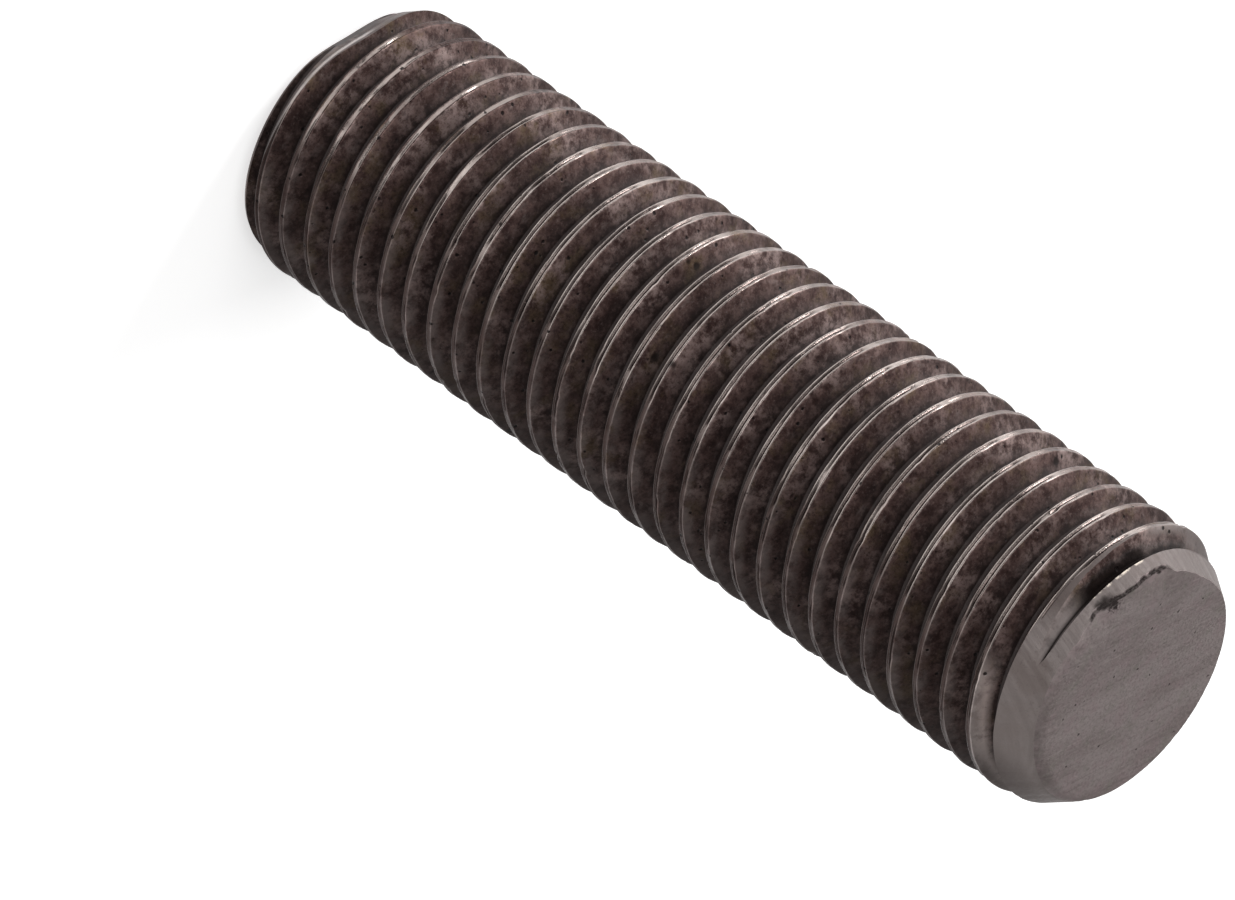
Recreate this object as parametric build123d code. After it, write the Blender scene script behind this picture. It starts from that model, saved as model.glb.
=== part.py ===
from build123d import *
import os
from math import ceil, radians, tan

# A double ended stud: a short steel rod with a rolled screw thread along its whole
# length, so that either end takes a nut or goes into a tapped hole. It is one piece.
# The thread is right-handed, of nominal 7/16 inch with 20 threads to the inch.
# The stud stands on its lower end. Its axis is +Z, and the origin is the middle of
# the lower end face. Lengths are in millimetres and angles in degrees.

# Driving dimensions
major_diameter = 10.95         # over the crests of the thread
pitch = 1.27                   # from one crest to the next, along the axis
stud_length = 39.1             # from one end face to the other
flank_angle = 30.0             # of each flank, from square to the axis
crest_flat = 0.24              # width of the flat on the crest
root_flat = 0.16               # width of the flat at the bottom of the groove
thread_start_angle = 180.0     # from +X, where the groove crosses the lower end face
upper_face_diameter = 9.15     # flat circle inside the upper chamfer
upper_chamfer_run = 1.42       # of the upper chamfer, along the axis
lower_face_diameter = 9.7      # flat circle inside the lower chamfer
lower_chamfer_run = 1.0        # of the lower chamfer, along the axis

# Sizes that follow from them
major_radius = major_diameter / 2
groove_mouth = pitch - crest_flat
thread_depth = (groove_mouth - root_flat) / 2 / tan(radians(flank_angle))
root_radius = major_radius - thread_depth

# One pitch of the thread's outline, as (radius, height) above the groove's middle
thread_outline = [
    (root_radius, -root_flat / 2),
    (root_radius, root_flat / 2),
    (major_radius, groove_mouth / 2),
    (major_radius, pitch - groove_mouth / 2),
    (root_radius, pitch - root_flat / 2),
]


def one_turn(radius, height):
    """A right-handed helix of one turn, which starts at the thread's start angle."""
    turn = Pos(0, 0, height) * Rot(0, 0, thread_start_angle)
    return (turn * Helix(pitch=pitch, height=pitch, radius=radius)).edge()


def thread_turn(height):
    """The root, flank, crest and flank of one turn, each a strip between two helices."""
    helices = [one_turn(radius, height + rise) for radius, rise in thread_outline]
    return [
        Face.make_surface_from_curves(lower, upper)
        for lower, upper in zip(helices, helices[1:])
    ]


def blank_end(height):
    """What closes the thread at an end: a ramp of one turn, and the step that it leaves."""
    ramp_radius, ramp_rise = thread_outline[0]
    ramp_foot = Vector(0, 0, height + ramp_rise)
    ramp_top = Vector(0, 0, height + ramp_rise + pitch)
    step_corners = [
        Vector(radius, 0, height + rise).rotate(Axis.Z, thread_start_angle)
        for radius, rise in thread_outline
    ]
    axis_line = Edge.make_line(ramp_foot, ramp_top)
    ramp = Face.make_surface_from_curves(axis_line, one_turn(ramp_radius, height + ramp_rise))
    step = Face(Wire.make_polygon([ramp_foot, *step_corners, ramp_top]))
    return [ramp, step]


def threaded_blank():
    """A threaded bar that stands out past both ends of the stud, ready to be faced off."""
    turns_below = 2
    turns_above = 1
    turns = turns_below + ceil(stud_length / pitch) + turns_above
    bottom = -turns_below * pitch
    faces = blank_end(bottom) + blank_end(bottom + turns * pitch)
    for turn in range(turns):
        faces += thread_turn(bottom + turn * pitch)
    return Solid(Shell(faces))


def chamfered_envelope():
    """What facing and chamfering leave: flat ends, and a cone down to each of them."""
    clear_of_crests = pitch / 2
    lower_slope = lower_chamfer_run / (major_radius - lower_face_diameter / 2)
    upper_slope = upper_chamfer_run / (major_radius - upper_face_diameter / 2)
    outer_radius = major_radius + clear_of_crests
    half_outline = Polyline(
        (0, 0),
        (lower_face_diameter / 2, 0),
        (outer_radius, lower_chamfer_run + clear_of_crests * lower_slope),
        (outer_radius, stud_length - upper_chamfer_run - clear_of_crests * upper_slope),
        (upper_face_diameter / 2, stud_length),
        (0, stud_length),
        close=True,
    )
    return revolve(Plane.XZ * make_face(half_outline), Axis.Z)


stud = threaded_blank() & chamfered_envelope()
stud.label = "stud"

os.makedirs("parts", exist_ok=True)
export_step(stud, "parts/stud.step")
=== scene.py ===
from math import atan2, cos, degrees, exp, hypot, pi, radians, sin, tan

import bpy
from mathutils import Matrix, Vector, noise


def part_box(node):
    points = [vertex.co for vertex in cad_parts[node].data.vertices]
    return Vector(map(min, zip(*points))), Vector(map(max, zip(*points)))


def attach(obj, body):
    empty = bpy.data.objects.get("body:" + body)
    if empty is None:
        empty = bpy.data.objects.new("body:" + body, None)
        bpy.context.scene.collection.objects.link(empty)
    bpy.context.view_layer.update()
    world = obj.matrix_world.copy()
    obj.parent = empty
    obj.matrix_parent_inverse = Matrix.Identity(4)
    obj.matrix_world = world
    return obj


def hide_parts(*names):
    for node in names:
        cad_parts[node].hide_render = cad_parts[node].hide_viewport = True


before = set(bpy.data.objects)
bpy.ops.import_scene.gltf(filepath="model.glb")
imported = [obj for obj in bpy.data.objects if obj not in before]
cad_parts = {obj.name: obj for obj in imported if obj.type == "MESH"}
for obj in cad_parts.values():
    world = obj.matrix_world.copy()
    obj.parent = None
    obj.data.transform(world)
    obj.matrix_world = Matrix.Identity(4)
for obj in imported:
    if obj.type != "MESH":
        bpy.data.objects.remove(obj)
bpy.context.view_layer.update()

# Camera: a long lens, raised above the upper end, and rolled so that the stud lies
# across the view with its upper end towards the lower right corner.
camera_distance = 0.3936
camera_height_angle = radians(31.73)
camera_side_angle = radians(0.64)
camera_roll = radians(125.66)
aim = Vector((0.00367, 0.0, 0.01695))
camera_data = bpy.data.cameras.new("camera")
camera_data.sensor_width = 36.0
camera_data.lens = 328.8
camera_data.clip_start = 0.01
camera = bpy.data.objects.new("camera", camera_data)
bpy.context.scene.collection.objects.link(camera)
toward_camera = Vector((
    -sin(camera_side_angle) * cos(camera_height_angle),
    -cos(camera_side_angle) * cos(camera_height_angle),
    sin(camera_height_angle),
))
right = Vector((0, 0, 1)).cross(toward_camera).normalized()
up = toward_camera.cross(right)
unrolled = Matrix((right, up, toward_camera)).transposed()
camera.matrix_world = (
    Matrix.Translation(aim + toward_camera * camera_distance)
    @ unrolled.to_4x4()
    @ Matrix.Rotation(camera_roll, 4, "Z")
)
bpy.context.scene.camera = camera

# Stud: one piece of steel, sawn from bar, chamfered at both ends and then rolled
# between dies, which raise the thread and leave a fine seam along its crest.
# It stands on its lower end, so z is height along it.
stud_low, stud_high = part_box("stud")
stud_length = stud_high[2] - stud_low[2]
major_radius = (stud_high[0] - stud_low[0]) / 2
pitch = 0.00127
steps_round = 160

# half of the thread's outline: (height above the groove's middle, depth below the crest)
half_outline = (
    (0.0, 0.000753),
    (0.000070, 0.000741),
    (0.000140, 0.000650),
    (0.000300, 0.000372),
    (0.000450, 0.000113),
    (0.000492, 0.000042),
    (0.000518, 0.000010),
    (0.000548, 0.0),
    (0.000590, 0.000014),
    (0.000635, 0.000044),
)
outline = [(major_radius - depth, height) for height, depth in half_outline]
outline += [(radius, pitch - height) for radius, height in reversed(outline[:-1])]

# the height of a groove's middle where it crosses the +X side; the outline is wound from
# two turns below it to past the upper end
groove_start = -pitch / 2
winding_start = groove_start - 2 * pitch
turns = int(stud_length / pitch) + 5

bpy.ops.object.select_all(action="DESELECT")
bpy.ops.mesh.primitive_plane_add(size=pitch)
stud = bpy.context.object
stud.name = "stud_body"
bpy.ops.object.mode_set(mode="EDIT")
bpy.ops.mesh.select_all(action="SELECT")
bpy.ops.mesh.merge(type="CENTER")
bpy.ops.transform.translate(value=(outline[0][0], 0, outline[0][1] + winding_start))
for here, there in zip(outline, outline[1:]):
    step = (there[0] - here[0], 0, there[1] - here[1])
    bpy.ops.mesh.extrude_vertices_move(TRANSFORM_OT_translate={"value": step})
bpy.ops.object.mode_set(mode="OBJECT")
winding = stud.modifiers.new("winding", "SCREW")
winding.axis = "Z"
winding.angle = 2 * pi
winding.screw_offset = pitch
winding.iterations = turns
winding.steps = steps_round
winding.render_steps = steps_round
bpy.ops.object.modifier_apply(modifier="winding")
bpy.ops.object.mode_set(mode="EDIT")
bpy.ops.mesh.select_all(action="SELECT")
bpy.ops.mesh.remove_doubles(threshold=1e-6)
bpy.ops.mesh.fill_holes(sides=0)
bpy.ops.mesh.select_all(action="SELECT")
bpy.ops.mesh.normals_make_consistent(inside=False)
bpy.ops.object.mode_set(mode="OBJECT")

# places along the last groove, in turns from the lower end: it is rubbed clean, closes,
# is caked with dirt and painted shade under a bare rim with a painted highlight, and fades out on
# the upper chamfer
rubbed_from = 29.79
closes_from = 30.50
rubbed_to = 30.572
caked_and_shade_from = 30.575
rim_wear_and_highlight_from = 30.60
fades_from = 30.62
runs_out_from = 30.69
fades_to = 31.03


def clamp(share):
    return min(1.0, max(0.0, share))


def ease(share):
    share = clamp(share)
    return share * share * (3 - 2 * share)


def degrees_round(x, y):
    """The angle round the stud from its -Y side, from -180 to 180 and growing toward +X."""
    return (degrees(atan2(y, x)) + 270) % 360 - 180


def thread_place(x, y, z):
    """Which groove this is, with its part of a turn, and the height above its middle."""
    turn = (atan2(y, x) / (2 * pi)) % 1.0
    grooves = (z - groove_start) / pitch - turn
    return round(grooves) + turn, (grooves - round(grooves)) * pitch


def crest_state(x, y, z):
    """How deep the seam is in the crest here, and how bare the crest is, from 0 to 1."""
    around = degrees_round(x, y)
    place = Vector((x, y, z)) * 1000
    opened = clamp((around + 58) / 14) * clamp((26 - around) / 16)
    opened *= clamp((z - 0.005) / 0.005)
    depth = 0.10 + 0.85 * opened + 0.8 * noise.noise(place * 0.8 + Vector((40, 0, 0)))
    bare = (0.28 + 0.72 * ease((around + 66) / 18)) * ease((38 - around) / 36)
    bare *= 1.0 + 0.55 * noise.noise(place * 0.5 + Vector((0, 60, 0)))
    bare *= 0.62 + 0.38 * ease((z - 0.006) / 0.006)
    if z < 0.0040:
        bare *= 1 - ease((-around - 36) / 14)
    return clamp(depth), clamp(bare)


# the dies leave the crests a little uneven, with nicks and a seam along their middle;
# where there is no seam, the outline's own dip there is filled
crest_band = 0.00020
seam_depth = 0.000075
dip_filled = 0.000052
for vertex in stud.data.vertices:
    x, y, z = vertex.co
    radius = hypot(x, y)
    along, offset = thread_place(x, y, z)
    depth = major_radius - radius
    place = Vector((x, y, z)) * 1000
    full_thread = 2 < along < turns - 2
    if full_thread and depth < crest_band:
        slow = noise.noise(place * 0.45)
        fast = noise.noise(place * 2.3)
        side = noise.noise(place * 0.7 + Vector((40, 20, 0)))
        nick = max(0.0, noise.noise(place * 2.9 + Vector((7, 3, 70))) - 0.42)
        lower = 0.000010 * (1 + slow) + 0.000016 * max(0.0, fast - 0.1) + 0.00016 * nick
        if abs(offset) > pitch / 2 - 0.00001:
            lower += seam_depth * crest_state(x, y, z)[0] - dip_filled
        elif offset > 0:
            lower += 0.000030 * max(0.0, side)
        else:
            lower += 0.000030 * max(0.0, -side)
        radius = min(radius - lower, major_radius)
        z += 0.000014 * noise.noise(place * 0.8 + Vector((0, 0, 90)))
    elif full_thread:
        radius += 0.000012 * noise.noise(place * 1.4 + Vector((5, 9, 0)))
        z += 0.000008 * noise.noise(place * 1.1 + Vector((9, 0, 30)))
    radius += (major_radius - radius) * ease((along - fades_from) / (fades_to - fades_from))
    scale = radius / hypot(x, y)
    vertex.co = (x * scale, y * scale, z)

# the two end faces and chamfers, as the outside of the blank before rolling
nominal_radius = 0.005475
lower_face_radius = 0.00485
lower_chamfer_length = 0.0010
lower_edge_break = 0.00004
upper_face_radius = 0.004575
upper_chamfer_length = 0.00142
lower_slope = lower_chamfer_length / (nominal_radius - lower_face_radius)
upper_slope = upper_chamfer_length / (nominal_radius - upper_face_radius)
blank_radius = major_radius + 0.0004
first_radius = lower_face_radius - lower_edge_break
upper_chamfer_start = stud_length - (blank_radius - upper_face_radius) * upper_slope
rings = [
    (lower_face_radius, lower_edge_break),
    (blank_radius, lower_edge_break + (blank_radius - lower_face_radius) * lower_slope),
    (blank_radius, upper_chamfer_start),
]

# close rings on both sides of the upper edge, numbered inwards from it by their steps,
# and how far below the upper end those on the chamfer lie at most
ring_step = 0.00003
edge_zone = 0.0006
for number in (-10, -8, -6, -4, -3, -2, -1, 0):
    inset = number * ring_step
    rings.append((upper_face_radius - inset, stud_length + inset * upper_slope))
for inset in (2 * ring_step, 0.0008, 0.0012, 0.0018, 0.0026):
    rings.append((upper_face_radius - inset, stud_length))

bpy.ops.object.select_all(action="DESELECT")
bpy.ops.mesh.primitive_circle_add(vertices=2 * steps_round, radius=first_radius, fill_type="NGON")
blank = bpy.context.object
blank.name = "blank"
bpy.ops.object.mode_set(mode="EDIT")
bpy.ops.mesh.select_all(action="SELECT")
last_radius = first_radius
last_height = 0.0
for radius, height in rings:
    step = (0, 0, height - last_height)
    bpy.ops.mesh.extrude_region_move(TRANSFORM_OT_translate={"value": step})
    grow = radius / last_radius
    bpy.ops.transform.resize(value=(grow, grow, 1), center_override=(0, 0, height))
    last_radius = radius
    last_height = height
bpy.ops.mesh.select_all(action="SELECT")
bpy.ops.mesh.normals_make_consistent(inside=False)
bpy.ops.object.mode_set(mode="OBJECT")

# the upper face's edge is uneven: sharp with a burr on one side, and worn round beside it
chamfer_lean = atan2(upper_slope, 1.0)
sharp_rounding = 0.00002
worn_rounding = 0.00034
burr_dip = 0.00007
down_the_chamfer = {-6: 0.00006, -8: 0.00012, -10: 0.00024}


def edge_line(around):
    """How far the face's edge lies outside its circle, how worn it is, and its burr."""
    place = Vector((around / 5, 0, 0))
    lobe = 0.00014 * exp(-((around + 16) / 11) ** 2)
    left_side = 1 if around > -58 else exp(-((around + 58) / 3) ** 2)
    lobe += 0.00011 * exp(-((around + 54) / 13) ** 2) * left_side
    lobe -= 0.00016 * exp(-((around + 85) / 18) ** 2)
    lobe -= 0.00014 * exp(-((around - 70) / 28) ** 2)
    lobe += 0.000022 * noise.noise(place) + 0.000014 * noise.noise(place * 3.7)
    worn = clamp((around + 10) / 20) * clamp((130 - around) / 40)
    burr = clamp((-around - 11) / 4) * clamp((around + 60) / 4)
    burr *= min(1.0, max(0.25, 0.75 + 1.6 * noise.noise(place * 1.7 + Vector((3, 0, 0)))))
    return lobe, worn, burr


for vertex in blank.data.vertices:
    x, y, z = vertex.co
    radius = hypot(x, y)
    number = round((upper_face_radius - radius) / ring_step)
    around = degrees_round(x, y)
    if z < 0.003:
        # the lower chamfer is lopsided: cut further back on one side of the front
        cut_back = exp(-((around + 38) / 20) ** 2)
        left_fuller = exp(-((around - 70) / 40) ** 2)
        if z < 0.0002:
            grow = 1 + (0.00024 * left_fuller - 0.00036 * cut_back) / radius
            vertex.co = (x * grow, y * grow, z)
        else:
            vertex.co.z = z + 0.00060 * cut_back - 0.00016 * left_fuller
        continue
    if z < stud_length - edge_zone or number > 2:
        continue
    lobe, worn, burr = edge_line(around)
    rounding = sharp_rounding + worn_rounding * worn
    new_radius = upper_face_radius + lobe
    new_height = stud_length - max(0.0, lobe) * upper_slope
    if number > 0:
        new_radius -= rounding + 0.00006
        new_height += max(0.0, lobe) * upper_slope * 0.12
    elif number >= -4:
        lean = chamfer_lean * -number / 4
        bend = rounding / tan(chamfer_lean / 2)
        new_radius += bend * sin(lean) - rounding
        new_height -= bend * (1 - cos(lean))
    else:
        along_cone = rounding + down_the_chamfer[number]
        sunk = burr_dip * burr if number == -6 else 0.0
        new_radius += along_cone * cos(chamfer_lean) - sunk * sin(chamfer_lean)
        new_height -= along_cone * sin(chamfer_lean) + sunk * cos(chamfer_lean)
    vertex.co = (x * new_radius / radius, y * new_radius / radius, new_height)

bpy.ops.object.select_all(action="DESELECT")
bpy.context.view_layer.objects.active = stud
stud.select_set(True)
shaping = stud.modifiers.new("shaping", "BOOLEAN")
shaping.operation = "INTERSECT"
shaping.solver = "MANIFOLD"
shaping.object = blank
bpy.ops.object.modifier_apply(modifier="shaping")
bpy.data.objects.remove(blank)
bpy.ops.object.mode_set(mode="EDIT")
bpy.ops.mesh.select_all(action="SELECT")
bpy.ops.mesh.remove_doubles(threshold=1e-6)
bpy.ops.mesh.normals_make_consistent(inside=False)
bpy.ops.object.mode_set(mode="OBJECT")
bpy.ops.object.shade_smooth_by_angle(angle=radians(32))

# what the finishes below read: the crests' seam and bare steel, darkening on and behind the
# burr, and where the last groove is rubbed clean or caked with dirt and painted shade
marks = {"seam_depth": [], "bare_steel": [], "rubbed": [], "caked_and_painted_shade": [], "burr_darkening": []}
for vertex in stud.data.vertices:
    x, y, z = vertex.co
    depth, bare = crest_state(x, y, z)
    marks["seam_depth"].append(depth)
    marks["bare_steel"].append(bare)

    # how high this is in its groove: 0 at the middle, 0.5 on the crest
    along, offset = thread_place(x, y, z)
    level = abs(offset) / pitch
    closing = ease((along - closes_from) / 0.03)
    run_out = ease((along - runs_out_from) / 0.045)
    clean = ease((along - rubbed_from) / 0.05) * (1 - ease((along - rubbed_to) / 0.035))
    clean *= ease((level - 0.12 - 0.10 * closing) / 0.10)
    marks["rubbed"].append(max(clean, run_out * ease((level - 0.03) / 0.05)))
    # caked dirt in the last groove, and painted shade darkening its root where it closes
    caked_and_painted_shade = ease((along - caked_and_shade_from) / 0.035) * (1 - run_out * ease((level - 0.02) / 0.04))
    root_dirt_and_shade = 0.8 * closing * (1 - ease((level - 0.16) / 0.10)) * (1 - run_out)
    marks["caked_and_painted_shade"].append(max(caked_and_painted_shade, root_dirt_and_shade))

    # how far this is outside the upper edge, and how far under the chamfer
    lobe, worn, burr = edge_line(degrees_round(x, y))
    out = hypot(x, y) - upper_face_radius - lobe
    down = stud_length - max(0.0, lobe) * upper_slope - z
    below_cone = down * cos(chamfer_lean) - out * sin(chamfer_lean)
    beside_burr = z > stud_length - 0.0008 and burr > 0.05
    behind_burr = beside_burr and below_cone > 0.00001 and -0.00001 < out < 0.0003
    on_burr = beside_burr and not behind_burr and -0.00005 < out < 0.00007
    marks["burr_darkening"].append(min(1.0, burr * (1.4 * behind_burr + 2.6 * on_burr)))
for name, values in marks.items():
    mark = stud.data.attributes.new(name, "FLOAT", "POINT")
    mark.data.foreach_set("value", values)
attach(stud, "root")
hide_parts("stud")


# its finish: dark oiled steel, bare and bright on the crests, with dirt and painted shade in the
# grooves, and painted light and shade by side
def add(material, kind, **settings):
    made = material.node_tree.nodes.new(kind)
    for name, value in settings.items():
        setattr(made, name, value)
    return made


def join(material, given, socket):
    material.node_tree.links.new(given, socket)


def value_of(material, operation, *inputs, clamped=False):
    made = add(material, "ShaderNodeMath", operation=operation, use_clamp=clamped)
    for number, given in enumerate(inputs):
        if isinstance(given, (int, float)):
            made.inputs[number].default_value = given
        else:
            join(material, given, made.inputs[number])
    return made.outputs[0]


def times(material, first, second):
    return value_of(material, "MULTIPLY", first, second)


def swing(material, pattern, width):
    """A pattern from 0 to 1, made to swing about zero."""
    return times(material, value_of(material, "SUBTRACT", pattern, 0.5), width)


def between(material, given, low, high, from_value=0.0, to_value=1.0):
    made = add(material, "ShaderNodeMapRange", interpolation_type="SMOOTHSTEP")
    made.inputs["From Min"].default_value = low
    made.inputs["From Max"].default_value = high
    made.inputs["To Min"].default_value = from_value
    made.inputs["To Max"].default_value = to_value
    join(material, given, made.inputs["Value"])
    return made.outputs["Result"]


def coat(material, under, over, share, strength=1.0):
    """One colour laid over another where the share says, at a part of its strength."""
    made = add(material, "ShaderNodeMix", data_type="RGBA")
    under_socket = [s for s in made.inputs if s.name == "A" and s.type == "RGBA"][0]
    over_socket = [s for s in made.inputs if s.name == "B" and s.type == "RGBA"][0]
    share_socket = [s for s in made.inputs if s.name == "Factor" and s.type == "VALUE"][0]
    for socket, given in ((under_socket, under), (over_socket, over)):
        if isinstance(given, tuple):
            socket.default_value = (*given, 1)
        else:
            join(material, given, socket)
    if strength < 1.0:
        share = times(material, share, strength)
    join(material, share, share_socket)
    return [s for s in made.outputs if s.type == "RGBA"][0]


def placed(material, where, centre, turn, sizes):
    """Coordinates moved to a centre, turned about z and measured in these sizes."""
    mapping = add(material, "ShaderNodeMapping", vector_type="TEXTURE")
    mapping.inputs["Location"].default_value = centre
    mapping.inputs["Rotation"].default_value = (0, 0, turn)
    mapping.inputs["Scale"].default_value = sizes
    join(material, where, mapping.inputs["Vector"])
    return mapping.outputs["Vector"]


def cloud(material, where, scale, detail, rough, centre=(0, 0, 0), longer=(1, 1, 1), turn=0.0):
    made = add(material, "ShaderNodeTexNoise")
    made.inputs["Scale"].default_value = scale
    made.inputs["Detail"].default_value = detail
    made.inputs["Roughness"].default_value = rough
    join(material, placed(material, where, centre, turn, longer), made.inputs["Vector"])
    return made.outputs["Fac"]


def specks(material, where, spacing, half_width, share, ragged, kind="3D"):
    """Small round pits: one in some of the cells of a grid, with ragged edges."""
    made = add(material, "ShaderNodeTexVoronoi", voronoi_dimensions=kind)
    made.inputs["Scale"].default_value = 1 / spacing
    join(material, where, made.inputs["Vector"])
    pick = add(material, "ShaderNodeSeparateColor")
    join(material, made.outputs["Color"], pick.inputs[0])
    edge = value_of(material, "ADD", made.outputs["Distance"], swing(material, ragged, 0.16))
    size = times(material, pick.outputs[1], half_width / spacing)
    outside = value_of(material, "SUBTRACT", edge, size)
    spot = between(material, outside, half_width / spacing, 0.0)
    return times(material, spot, value_of(material, "LESS_THAN", pick.outputs[0], share))


def smudge(material, where, centre, half_sizes, turn, ragged):
    """One patch of dirt at a place on the piece, with ragged edges."""
    made = add(material, "ShaderNodeVectorMath", operation="LENGTH")
    join(material, placed(material, where, centre, turn, half_sizes), made.inputs[0])
    edge = value_of(material, "ADD", made.outputs["Value"], swing(material, ragged, 2.4))
    return between(material, edge, 1.0, 0.35)


def mark_on(material, name):
    return add(material, "ShaderNodeAttribute", attribute_name=name).outputs["Fac"]


def roughen(material, height, strength, distance):
    """Fine marks too small to model, as bump."""
    bump = add(material, "ShaderNodeBump")
    bump.inputs["Strength"].default_value = strength
    bump.inputs["Distance"].default_value = distance
    join(material, height, bump.inputs["Height"])
    surface = material.node_tree.nodes["Principled BSDF"]
    join(material, bump.outputs["Normal"], surface.inputs["Normal"])


thread_steel = bpy.data.materials.new("thread_steel")
thread_steel.use_nodes = True
steel = thread_steel
surface = steel.node_tree.nodes["Principled BSDF"]
here = add(steel, "ShaderNodeTexCoord").outputs["Object"]
parts = add(steel, "ShaderNodeSeparateXYZ")
join(steel, here, parts.inputs[0])
x_out, y_out, z_out = parts.outputs

# how far round the thread this is, in grooves, and how near the crest, in pitches
radius_squared = value_of(steel, "ADD", times(steel, x_out, x_out), times(steel, y_out, y_out))
radius_out = value_of(steel, "SQRT", radius_squared)
turn_out = value_of(steel, "DIVIDE", value_of(steel, "ARCTAN2", y_out, x_out), 2 * pi)
height_out = value_of(steel, "DIVIDE", value_of(steel, "SUBTRACT", z_out, groove_start), pitch)
grooves_out = value_of(steel, "SUBTRACT", height_out, turn_out)
from_groove = value_of(steel, "PINGPONG", grooves_out, 0.5)
from_crest = value_of(steel, "SUBTRACT", 0.5, from_groove)

# a second set of coordinates, drawn out round the stud, for marks that run along the thread
drawn_radius = 0.0014
drawn_out = add(steel, "ShaderNodeCombineXYZ")
for number, part in enumerate((x_out, y_out)):
    drawn_part = times(steel, value_of(steel, "DIVIDE", part, radius_out), drawn_radius)
    join(steel, drawn_part, drawn_out.inputs[number])
join(steel, z_out, drawn_out.inputs[2])
along_thread = drawn_out.outputs[0]

mottle = cloud(steel, here, 2100, 6.0, 0.70)
patches = cloud(steel, here, 520, 4.0, 0.6, (0.3, 0.1, 0.7))
olive_spots = cloud(steel, here, 700, 5.0, 0.65, (0.9, 0.4, 0.2))
grain = cloud(steel, here, 9000, 3.0, 0.7)
streak = cloud(steel, along_thread, 4200, 4.0, 0.65, (0.2, 0.6, 0.1))
wear = cloud(steel, here, 900, 5.0, 0.7, (0.6, 0.2, 0.5))

# oiled, mottled flanks, cleaner in patches, with dirt and painted shade darkening the bottom of
# the groove
light_mottle = between(steel, mottle, 0.32, 0.70)
skin = coat(steel, (0.038, 0.0215, 0.0198), (0.132, 0.086, 0.078), light_mottle)
skin = coat(steel, skin, (0.120, 0.084, 0.050), between(steel, olive_spots, 0.52, 0.68), 0.60)
skin = coat(steel, skin, (0.030, 0.0175, 0.0170), between(steel, olive_spots, 0.46, 0.34), 0.55)
cleaner = between(steel, patches, 0.46, 0.66)
cleaner = times(steel, cleaner, between(steel, mottle, 0.40, 0.62))
skin = coat(steel, skin, (0.265, 0.200, 0.188), cleaner, 0.80)
skin = coat(steel, skin, (0.23, 0.185, 0.175), between(steel, streak, 0.56, 0.72), 0.35)
skin = coat(steel, skin, (0.020, 0.014, 0.013), between(steel, grain, 0.50, 0.34), 0.55)
skin = coat(steel, skin, (0.24, 0.19, 0.18), between(steel, grain, 0.55, 0.74), 0.40)
# dirt and painted shade: the bottom of each groove is coloured dark
groove_dirt_and_shade = value_of(steel, "ADD", from_groove, swing(steel, mottle, 0.24))
skin = coat(steel, skin, (0.026, 0.0165, 0.0155), between(steel, groove_dirt_and_shade, 0.16, 0.05), 0.85)

# the last groove, rubbed clean in one part with painted light making it lighter toward +X, and
# caked with dirt and painted shade in another; and painted highlights on the shoulders toward +X
rubbed_out = mark_on(steel, "rubbed")
rubbed_out = times(steel, rubbed_out, between(steel, mottle, 0.30, 0.52, 0.55, 1.0))
# painted light: the rubbed steel is coloured lighter toward +X
painted_light_toward_x = between(steel, x_out, 0.0010, 0.0032)
clean_steel_and_painted_light = coat(steel, (0.21, 0.178, 0.170), (0.60, 0.52, 0.495), painted_light_toward_x)
skin = coat(steel, skin, clean_steel_and_painted_light, rubbed_out, 0.85)
# painted highlight: the flanks toward the crests are coloured lighter toward +X
painted_highlight_shoulder = between(steel, from_groove, 0.20, 0.36)
painted_highlight_shoulder = times(steel, painted_highlight_shoulder, between(steel, x_out, 0.0010, 0.0036))
painted_highlight_shoulder = times(steel, painted_highlight_shoulder, between(steel, wear, 0.40, 0.60, 0.10, 0.60))
skin = coat(steel, skin, (0.24, 0.198, 0.188), painted_highlight_shoulder)
# caked dirt and painted shade: the last groove is coloured near black
ragged_level = value_of(steel, "ADD", from_groove, swing(steel, mottle, 0.16))
caked_and_shade_out = times(steel, mark_on(steel, "caked_and_painted_shade"), between(steel, ragged_level, 0.36, 0.16))
skin = coat(steel, skin, (0.0065, 0.0048, 0.0045), caked_and_shade_out, 0.92)

# bare crests, narrower at the lower end, with one dull lip and a dark seam along them
edge_noise = swing(steel, streak, 0.05)
narrowing = between(steel, z_out, 0.0120, 0.0050, 0.0, 0.036)
narrowing = value_of(steel, "ADD", edge_noise, narrowing)
worn = between(steel, value_of(steel, "ADD", from_crest, narrowing), 0.104, 0.076)
worn = times(steel, worn, between(steel, wear, 0.30, 0.54, 0.45, 1.0))
bare_out = mark_on(steel, "bare_steel")
skin = coat(steel, skin, (0.50, 0.435, 0.405), times(steel, worn, bare_out))
crest_side = value_of(steel, "FRACT", grooves_out)
dull_lip = between(steel, crest_side, 0.565, 0.535)
dull_lip = times(steel, dull_lip, between(steel, from_crest, 0.12, 0.10))
dull_lip = times(steel, dull_lip, between(steel, x_out, 0.0002, 0.0018, 0.0, 0.85))
skin = coat(steel, skin, (0.040, 0.026, 0.024), dull_lip)
seam_out = mark_on(steel, "seam_depth")
seam = value_of(steel, "ADD", from_crest, times(steel, edge_noise, 0.6))
seam = between(steel, seam, 0.056, 0.034)
seam = times(steel, seam, between(steel, seam_out, 0.25, 0.75))
skin = coat(steel, skin, (0.085, 0.060, 0.055), seam, 0.8)
deep_seam = between(steel, from_crest, 0.026, 0.010)
deep_seam = times(steel, deep_seam, between(steel, seam_out, 0.45, 0.85))
skin = coat(steel, skin, (0.022, 0.016, 0.015), deep_seam, 0.85)

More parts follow.
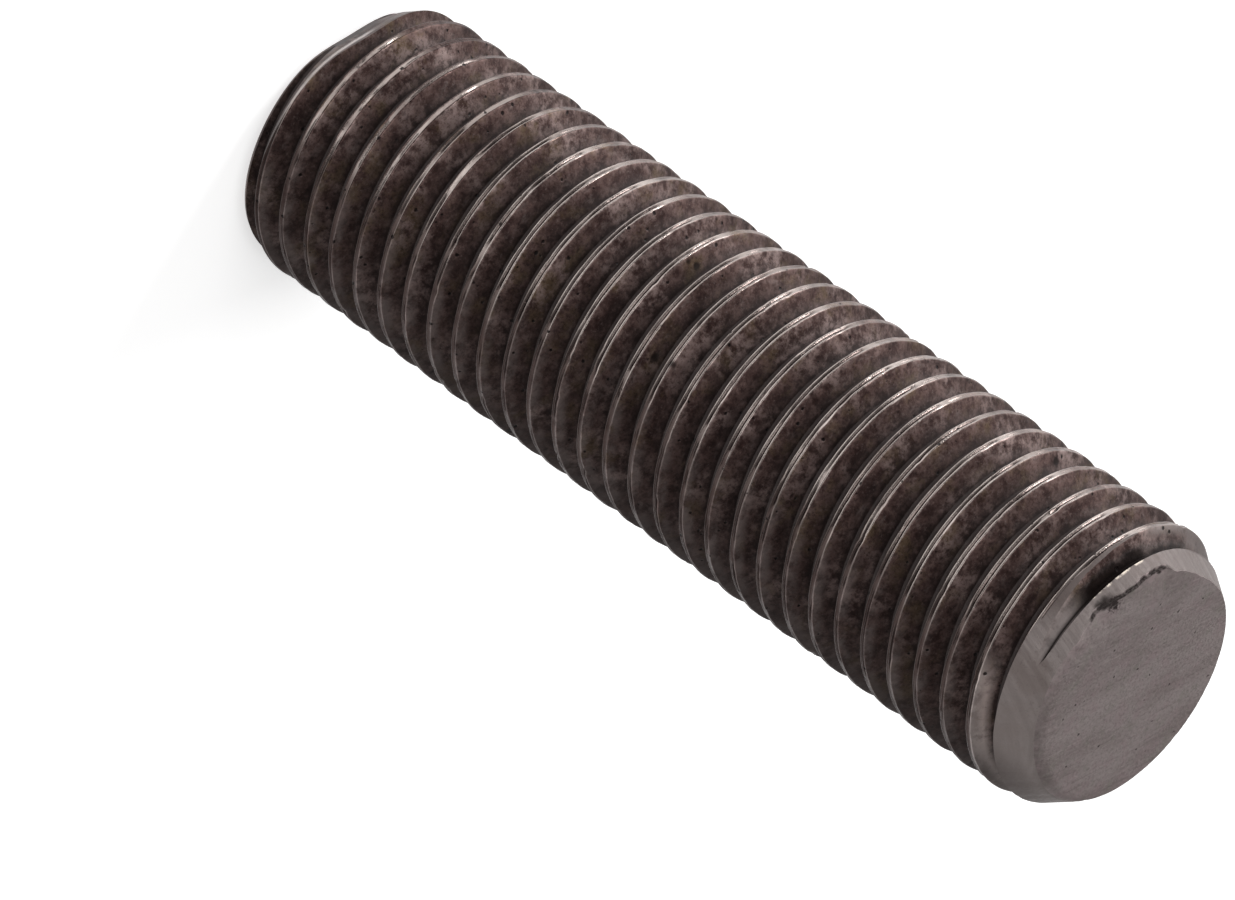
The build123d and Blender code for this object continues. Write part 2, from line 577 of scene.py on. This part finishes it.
# painted shade: darker toward +X, with small pits and a few larger blots
painted_shade_side = between(steel, x_out, 0.0043, 0.0054, 0.0, 0.60)
skin = coat(steel, skin, (0.030, 0.021, 0.020), painted_shade_side)
pits = specks(steel, here, 0.00042, 0.00005, 0.40, grain)
skin = coat(steel, skin, (0.010, 0.008, 0.008), pits, 0.92)
blots = specks(steel, here, 0.0016, 0.00014, 0.30, mottle)
skin = coat(steel, skin, (0.010, 0.007, 0.007), blots, 0.85)
join(steel, skin, surface.inputs["Base Color"])
polish = between(steel, from_crest, 0.12, 0.085)
polish = times(steel, polish, between(steel, bare_out, 0.0, 0.8, 0.25, 1.0))
roughness = value_of(steel, "SUBTRACT", 0.50, times(steel, polish, 0.30))
roughness = value_of(steel, "ADD", roughness, swing(steel, grain, 0.35), clamped=True)
join(steel, roughness, surface.inputs["Roughness"])
bare_metal = between(steel, from_groove, 0.08, 0.30, 0.35, 1.0)
join(steel, value_of(steel, "MAXIMUM", bare_metal, caked_and_shade_out), surface.inputs["Metallic"])
fine_marks = value_of(steel, "ADD", times(steel, grain, 0.30), times(steel, mottle, 0.8))
roughen(steel, value_of(steel, "SUBTRACT", fine_marks, pits), 0.7, 0.00003)


# the upper chamfer: turned steel with slanting marks, painted light and shade by side, darker
# along the burr
def burr_darkening_and_stains(material, where, grain, stains):
    """Darker on and behind the burr, and ragged stains: (centre, half sizes, turn, pattern)."""
    darkened = between(material, grain, 0.30, 0.55, 0.55, 1.0)
    darkened = times(material, mark_on(material, "burr_darkening"), darkened)
    for stain in stains:
        darkened = value_of(material, "MAXIMUM", darkened, smudge(material, where, *stain))
    return darkened


burr_and_stain_colour = (0.022, 0.0155, 0.0145)
ground_steel = bpy.data.materials.new("ground_steel")
ground_steel.use_nodes = True
steel = ground_steel
surface = steel.node_tree.nodes["Principled BSDF"]
here = add(steel, "ShaderNodeTexCoord").outputs["Object"]
parts = add(steel, "ShaderNodeSeparateXYZ")
join(steel, here, parts.inputs[0])
x_out, y_out, z_out = parts.outputs
scratches = cloud(steel, here, 6000, 4.0, 0.6, (0.1, 0.2, 0.3), (12, 1, 12), radians(-124))
broad = cloud(steel, here, 700, 4.0, 0.6)
grain = cloud(steel, here, 9000, 3.0, 0.65)
light_scratches = between(steel, scratches, 0.35, 0.68)
skin = coat(steel, (0.20, 0.168, 0.160), (0.27, 0.232, 0.222), light_scratches)
skin = coat(steel, skin, (0.17, 0.132, 0.120), between(steel, broad, 0.46, 0.66), 0.55)
skin = coat(steel, skin, (0.10, 0.075, 0.07), between(steel, grain, 0.48, 0.32), 0.40)
beyond_groove = between(steel, z_out, 0.03842, 0.03832)
beyond_groove = times(steel, beyond_groove, between(steel, x_out, 0.0006, -0.0010))
skin = coat(steel, skin, (0.075, 0.054, 0.049), beyond_groove, 0.75)

# painted light and shade by side: darker toward -X, lighter past the middle, dark at +X
for colour, low, high, most in (
    ((0.10, 0.082, 0.078), 0.0010, -0.0045, 0.42),
    ((0.36, 0.31, 0.295), 0.0008, 0.0035, 0.45),
    ((0.085, 0.066, 0.062), 0.0040, 0.0052, 0.70),
):
    skin = coat(steel, skin, colour, between(steel, x_out, low, high, 0.0, most))
# painted highlight: the bare rim of the last groove is coloured near white
rim_wear_and_highlight_out = between(steel, mark_on(steel, "bare_rim_and_painted_highlight"), 0.72, 0.95)
rim_wear_and_highlight_out = times(steel, rim_wear_and_highlight_out, between(steel, cloud(steel, here, 4200, 3.0, 0.6), 0.44, 0.56))
skin = coat(steel, skin, (0.72, 0.64, 0.55), rim_wear_and_highlight_out)
darkened = burr_darkening_and_stains(steel, here, grain, (
    ((-0.00178, -0.00440, 0.03908), (0.00070, 0.00022, 0.0006), radians(-26), broad),
    ((-0.00366, -0.00280, 0.03904), (0.00024, 0.00010, 0.0004), radians(-53), broad),
))
skin = coat(steel, skin, burr_and_stain_colour, darkened, 0.88)
join(steel, skin, surface.inputs["Base Color"])
surface.inputs["Metallic"].default_value = 0.5
roughness = between(steel, grain, 0.3, 0.7, 0.52, 0.68)
roughness = value_of(steel, "ADD", roughness, times(steel, darkened, 0.35))
join(steel, roughness, surface.inputs["Roughness"])
roughen(steel, value_of(steel, "ADD", scratches, times(steel, grain, 0.3)), 0.5, 0.00002)

# both end faces: sawn straight across, with fine parallel marks and a few pits
sawn_steel = bpy.data.materials.new("sawn_steel")
sawn_steel.use_nodes = True
steel = sawn_steel
surface = steel.node_tree.nodes["Principled BSDF"]
here = add(steel, "ShaderNodeTexCoord").outputs["Object"]
saw_turn = radians(132.7)
saw_marks = cloud(steel, here, 6000, 4.0, 0.65, (0.1, 0.2, 0.3), (12, 1, 1), saw_turn)
broad = cloud(steel, here, 700, 4.0, 0.6, (0.3, 0.3, 0), (2.5, 1, 1), saw_turn)
tint = cloud(steel, here, 1300, 5.0, 0.7, (0.7, 0.1, 0))
grain = cloud(steel, here, 9000, 3.0, 0.65)
pits = specks(steel, here, 0.0011, 0.000035, 0.55, grain, "2D")
light_bands = between(steel, broad, 0.35, 0.65)
skin = coat(steel, (0.270, 0.225, 0.218), (0.345, 0.296, 0.289), light_bands)
for colour, pattern, low, high, strength in (
    ((0.325, 0.252, 0.257), tint, 0.48, 0.64, 0.55),
    ((0.262, 0.245, 0.216), tint, 0.46, 0.32, 0.55),
    ((0.46, 0.40, 0.385), saw_marks, 0.54, 0.72, 0.28),
    ((0.18, 0.147, 0.140), saw_marks, 0.45, 0.30, 0.32),
    ((0.16, 0.127, 0.122), grain, 0.50, 0.34, 0.34),
    ((0.44, 0.385, 0.375), grain, 0.52, 0.68, 0.30),
):
    skin = coat(steel, skin, colour, between(steel, pattern, low, high), strength)
skin = coat(steel, skin, (0.05, 0.038, 0.036), pits, 0.8)
darkened = burr_darkening_and_stains(steel, here, grain, (
    ((-0.00178, -0.00436, 0.03908), (0.00070, 0.00024, 0.0006), radians(-26), tint),
    ((-0.00190, -0.00412, 0.03908), (0.00036, 0.00034, 0.0006), 0.0, grain),
    ((-0.00366, -0.00280, 0.03904), (0.00024, 0.00010, 0.0004), radians(-53), tint),
))
skin = coat(steel, skin, burr_and_stain_colour, darkened, 0.88)
join(steel, skin, surface.inputs["Base Color"])
surface.inputs["Metallic"].default_value = 0.9
roughness = between(steel, grain, 0.3, 0.7, 0.55, 0.72)
roughness = value_of(steel, "ADD", roughness, times(steel, darkened, 0.28))
join(steel, roughness, surface.inputs["Roughness"])
saw_height = value_of(steel, "ADD", saw_marks, times(steel, grain, 0.3))
roughen(steel, value_of(steel, "SUBTRACT", saw_height, pits), 0.4, 0.00002)

# which finish each face has: sawn on the end faces, ground on the upper chamfer and on
# the burr's wall, and the thread's own everywhere else
thread_finish, ground_finish, sawn_finish = 0, 1, 2
stud.data.materials.clear()
for finish in (thread_steel, ground_steel, sawn_steel):
    stud.data.materials.append(finish)
face_corners = {thread_finish: set(), ground_finish: set(), sawn_finish: set()}
for face in stud.data.polygons:
    x, y, z = face.center
    radius = hypot(x, y)
    upward = face.normal.z
    lobe, worn, burr = edge_line(degrees_round(x, y))
    edge_radius = upper_face_radius + min(0.0, lobe)
    cone_share = (stud_length - z) / ((blank_radius - upper_face_radius) * upper_slope)
    cone_radius = edge_radius + (blank_radius - edge_radius) * cone_share
    near_top = z > stud_length - edge_zone
    under_cone = 0.00009 if near_top else 0.00003
    beside_edge = upward > 0.74 and radius > cone_radius - 0.00040
    top_face = z > stud_length - 0.0005 and (upward > 0.90 or beside_edge)
    burr_wall = burr > 0 and near_top and abs(radius - upper_face_radius - lobe) < 0.0002
    on_chamfer = z > stud_length - upper_chamfer_length - ring_step
    on_chamfer = on_chamfer and radius > cone_radius - under_cone
    if z < 0.00002 or top_face:
        face.material_index = sawn_finish
    elif burr_wall or on_chamfer and 0.38 < upward <= 0.74:
        face.material_index = ground_finish
    else:
        face.material_index = thread_finish
    face_corners[face.material_index].update(face.vertices)

# the rim where the last groove cuts the chamfer is rubbed bare, with a painted highlight on it
rim = face_corners[thread_finish] & face_corners[ground_finish]
rim_wear_and_highlight_values = []
for vertex in stud.data.vertices:
    along, offset = thread_place(*vertex.co)
    rim_wear_and_highlight = 0.0
    if vertex.index in rim and offset > 0:
        rim_wear_and_highlight = ease((along - rim_wear_and_highlight_from) / 0.02) * (1 - ease((along - runs_out_from) / 0.03))
    rim_wear_and_highlight_values.append(rim_wear_and_highlight)
mark = stud.data.attributes.new("bare_rim_and_painted_highlight", "FLOAT", "POINT")
mark.data.foreach_set("value", rim_wear_and_highlight_values)

# Floor: a plain white sheet under the stud. It glows white to the camera, so that the
# background is white, and still keeps the stud's shadow.
bpy.ops.object.select_all(action="DESELECT")
bpy.ops.mesh.primitive_plane_add(size=4, location=(0, 0, 0))
floor = bpy.context.object
floor.name = "floor"
floor_white = bpy.data.materials.new("floor_white")
floor_white.use_nodes = True
nodes = floor_white.node_tree.nodes
paint = nodes["Principled BSDF"]
paint.inputs["Base Color"].default_value = (0.85, 0.85, 0.85, 1)
paint.inputs["Roughness"].default_value = 0.9
seen = add(floor_white, "ShaderNodeLightPath").outputs
seen_by = value_of(floor_white, "ADD", seen["Is Camera Ray"], seen["Is Glossy Ray"], clamped=True)
seen_by = value_of(floor_white, "ADD", seen_by, seen["Is Transmission Ray"], clamped=True)
glow = add(floor_white, "ShaderNodeEmission")
glow.inputs["Color"].default_value = (1, 1, 1, 1)
join(floor_white, times(floor_white, seen_by, 0.55), glow.inputs["Strength"])
both = add(floor_white, "ShaderNodeAddShader")
join(floor_white, paint.outputs["BSDF"], both.inputs[0])
join(floor_white, glow.outputs["Emission"], both.inputs[1])
join(floor_white, both.outputs["Shader"], nodes["Material Output"].inputs["Surface"])
floor.data.materials.append(floor_white)

# Light: a soft even room, a wide and a narrow lamp on the -X side, and a wide lamp
# above the front.
bpy.context.scene.view_settings.view_transform = "Standard"
world = bpy.data.worlds.new("room")
bpy.context.scene.world = world
world.use_nodes = True
world.node_tree.nodes["Background"].inputs["Color"].default_value = (1, 1, 1, 1)
world.node_tree.nodes["Background"].inputs["Strength"].default_value = 0.35
lit_point = Vector((0, 0, 0.02))
lamps = (
    ("wide_lamp", 1.75, 0.45, (-0.44, 0.17, 0.24)),
    ("near_lamp", 0.62, 0.10, (-0.47, -0.02, 0.24)),
    ("high_lamp", 0.75, 0.35, (-0.10, -0.26, 0.42)),
)
for name, power, width, place in lamps:
    lamp_data = bpy.data.lights.new(name, "AREA")
    lamp_data.energy = power
    lamp_data.size = width
    lamp = bpy.data.objects.new(name, lamp_data)
    bpy.context.scene.collection.objects.link(lamp)
    lamp.location = place
    lamp.rotation_euler = (lit_point - lamp.location).to_track_quat("-Z", "Y").to_euler()

bpy.context.view_layer.update()
